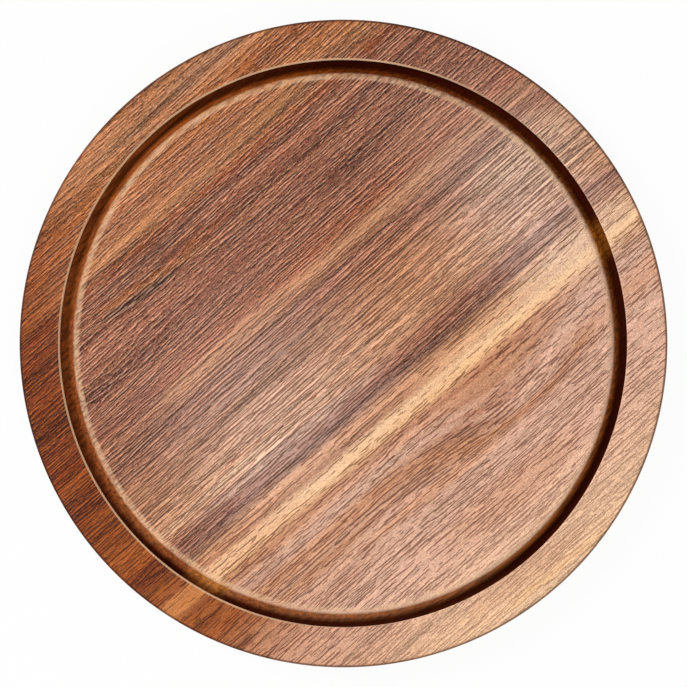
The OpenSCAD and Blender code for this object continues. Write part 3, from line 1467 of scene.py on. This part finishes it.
        # Painted highlight on the lip, partly wear, strongest on the side facing the light
        lip = self.window(self.radius - self.lip, *LIP_RUB_HIGHLIGHT) * self.ease(facing, *LIP_SPAN, start=LIP_LEAST)
        lip = lip * self.ease(self.grain(RUB_HIGHLIGHT_GRAIN, self.y), *NOISE_SPAN, *LIP_SHOWN)
        colour = self.blend(lip, colour, Tone.STRAW.colour())
        # Painted highlight on the outer arris, only on the side facing the light
        arris = self.window(self.radius - self.wall, *WALL_RUB_HIGHLIGHT) * self.ease(self.z, *ARRIS_HEIGHTS)
        arris = arris * self.ease(facing, *ARRIS_SPAN) * ARRIS_SHOWN
        return self.blend(arris, colour, Tone.STRAW.colour())

    def edge_grain_and_painted_shade(self, colour: Wire) -> Wire:
        """Darkens the outer edge, where end grain drinks the oil, and adds painted shade along its top round.

        Args:
            colour: Colour of the wood before that.

        Returns:
            The colour.
        """
        # End grain's dark below, full strength with painted shade on the top round
        end_grain_and_shade = self.ease(self.z, *EDGE_HEIGHTS, start=END_GRAIN_LEAST)
        end_grain_and_shade = end_grain_and_shade * self.ease(self.radius - self.edge, *EDGE_GRAIN)
        return self.blend(end_grain_and_shade, colour, self.tint(colour, END_GRAIN_AND_SHADE_TINT))


@dataclass(frozen=True)
class StaveFinish:
    """Oiled finish of the staves of one material slot."""

    slot: str
    gloss: float = 0.18
    ior: float = 1.46
    bump: float = 1.0
    bump_distance: float = 0.06 * MM

    def material(self, figure: WoodFigure) -> bpy.types.Material:
        """Makes the material: the shared figure on a satin surface.

        Args:
            figure: The figure that all the staves share.

        Returns:
            The material.
        """
        material = bpy.data.materials.new(self.slot + "_finish")
        material.use_nodes = True
        sketch = NodeSketch(material.node_tree)
        shader = material.node_tree.nodes["Principled BSDF"]
        place = sketch.add("ShaderNodeTexCoord")
        tag = sketch.add("ShaderNodeAttribute", attribute_name=LINES_ATTRIBUTE)
        colour, roughness, height = sketch.place_group(
            figure.tree, sketch.out(place, "Object"), sketch.out(tag, "Fac")
        )
        bump = sketch.add("ShaderNodeBump")
        bump.inputs["Strength"].default_value = self.bump
        bump.inputs["Distance"].default_value = self.bump_distance
        sketch.feed(bump.inputs["Height"], height)
        sketch.feed(shader.inputs["Base Color"], colour)
        sketch.feed(shader.inputs["Roughness"], roughness)
        sketch.feed(shader.inputs["Normal"], sketch.out(bump))
        shader.inputs["IOR"].default_value = self.ior
        shader.inputs["Specular IOR Level"].default_value = self.gloss
        return material


# The board


@dataclass
class ServingBoard:
    """The whole board: its staves and the glue lines between them."""

    section: BoardSection
    slots: dict[str, str]
    relief: GrainRelief = field(default_factory=GrainRelief)

    def build(self) -> None:
        """Builds and dresses every stave, then dresses the glue lines."""
        names = sorted(self.slots)
        staves = [name for name in names if name.startswith("stave_")]
        figure = WoodFigure(self.section, len(staves))
        finishes = {slot: StaveFinish(slot).material(figure) for slot in sorted(set(self.slots.values()))}
        groove = StaveFinish("groove", gloss=0.0).material(figure)
        for name in staves:
            kind = EndStave if name in (staves[0], staves[-1]) else Stave
            low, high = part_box(name)
            stave = kind(name, self.slots[name], low.y, high.y, self.section, self.relief)
            piece = stave.build()
            piece.data.materials.append(finishes[stave.slot])
            piece.data.materials.append(groove)
            stave.mark_groove(piece.data)
            log.info("%s: %d faces, finish %s", piece.name, len(piece.data.polygons), stave.slot)
        for name in names:
            if name not in staves:
                node = frame["nodes"][name]
                node.data.materials.clear()
                node.data.materials.append(finishes[self.slots[name]])
                log.info("%s: glue line, finish %s", name, self.slots[name])


# The studio


@dataclass(frozen=True)
class Softbox:
    """A square lamp that looks at the board's middle."""

    name: str
    azimuth: float
    elevation: float
    distance: float
    size: float
    radiance: float

    def place(self) -> None:
        """Adds the lamp: its power is pi times its area times its radiance."""
        lamp = bpy.data.lights.new(self.name, "AREA")
        lamp.size = self.size
        lamp.energy = math.pi * self.size ** 2 * self.radiance
        turn, rise = math.radians(self.azimuth), math.radians(self.elevation)
        out = (math.cos(rise) * math.cos(turn), math.cos(rise) * math.sin(turn), math.sin(rise))
        holder = bpy.data.objects.new(self.name, lamp)
        holder.location = [self.distance * part for part in out]
        holder.rotation_euler = (math.pi / 2 - rise, 0, turn + math.pi / 2)
        bpy.context.scene.collection.objects.link(holder)
        log.info("%s: lamp", self.name)


@dataclass
class Studio:
    """Floor, light and camera round the board."""

    section: BoardSection
    grain_angle: float = 41.2
    camera_height: float = 1.1
    edge_pixels: float = 323.87
    image_pixels: int = 687
    sensor: float = 36.0
    floor_half: float = 6.0
    floor_tone: float = 0.9
    floor_roughness: float = 0.9
    floor_glow: float = 0.94
    room_light: float = 0.28

    def build(self) -> None:
        """Sets up the floor, the world, the lamps and the camera."""
        bpy.context.scene.view_settings.view_transform = "Standard"
        self.place_camera()
        self.lay_floor()
        self.light_world()
        right = -self.grain_angle
        softboxes = (
            Softbox("left_softbox", azimuth=right + 150, elevation=36, distance=2.6, size=1.7, radiance=6.2),
            Softbox("low_softbox", azimuth=right - 65, elevation=45, distance=1.6, size=0.8, radiance=5.0),
        )
        for softbox in softboxes:
            softbox.place()

    def place_camera(self) -> None:
        """Hangs the camera straight above the board, turned so that the grain climbs to the right."""
        camera = bpy.data.cameras.new("camera")
        camera.sensor_width = self.sensor
        edge_height = self.section.thickness - self.section.top_round
        focal_pixels = self.edge_pixels * self.camera_height / self.section.radius
        camera.lens = focal_pixels * self.sensor / self.image_pixels
        holder = bpy.data.objects.new("camera", camera)
        holder.location = (0, 0, edge_height + self.camera_height)
        holder.rotation_euler = (0, 0, -math.radians(self.grain_angle))
        bpy.context.scene.collection.objects.link(holder)
        bpy.context.scene.camera = holder

    def lay_floor(self) -> None:
        """Lays a plain white floor that keeps the board's soft shadow and is clear from below."""
        half = self.floor_half
        corners = [(-half, -half, 0), (half, -half, 0), (half, half, 0), (-half, half, 0)]
        mesh = bpy.data.meshes.new("floor")
        mesh.from_pydata(corners, [], [(0, 1, 2, 3)])
        floor = bpy.data.objects.new("floor", mesh)
        bpy.context.scene.collection.objects.link(floor)
        material = bpy.data.materials.new("floor_paper")
        material.use_nodes = True
        sketch = NodeSketch(material.node_tree)
        shader = material.node_tree.nodes["Principled BSDF"]
        shader.inputs["Base Color"].default_value = (self.floor_tone, self.floor_tone, self.floor_tone, 1)
        shader.inputs["Roughness"].default_value = self.floor_roughness
        light = sketch.add("ShaderNodeEmission")
        light.inputs["Strength"].default_value = 1.0
        rays = sketch.add("ShaderNodeLightPath")
        seen = sketch.out(rays, "Is Camera Ray")
        for kind in ("Is Glossy Ray", "Is Transmission Ray"):
            seen = sketch.math("MAXIMUM", seen, sketch.out(rays, kind))
        paper = sketch.mix_shaders(seen * self.floor_glow, sketch.out(shader), sketch.out(light))
        below = sketch.out(sketch.add("ShaderNodeNewGeometry"), "Backfacing")
        clear = sketch.out(sketch.add("ShaderNodeBsdfTransparent"))
        surface = material.node_tree.nodes["Material Output"].inputs["Surface"]
        sketch.feed(surface, sketch.mix_shaders(below, paper, clear))
        mesh.materials.append(material)

    def light_world(self) -> None:
        """Fills the room with even light."""
        world = bpy.data.worlds.new("studio")
        bpy.context.scene.world = world
        world.use_nodes = True
        back = world.node_tree.nodes["Background"]
        back.inputs["Color"].default_value = (1, 1, 1, 1)
        sketch = NodeSketch(world.node_tree)
        rays = sketch.add("ShaderNodeLightPath")
        seen = sketch.out(rays, "Is Camera Ray")
        sketch.feed(back.inputs["Strength"], seen * (1.0 - self.room_light) + self.room_light)


def main() -> None:
    """Builds the board and its studio."""
    logging.basicConfig(level=logging.INFO, format="%(message)s")
    low, high = (np.array(corner) for corner in cad_box)
    section = BoardSection(radius=float(high[0] - low[0]) / 2, thickness=float(high[2] - low[2]))
    slots = {part["node"]: part["material_slot"] for part in frame["record"]["subparts"]}
    ServingBoard(section, slots).build()
    Studio(section).build()


if __name__ == "__main__":
    main()
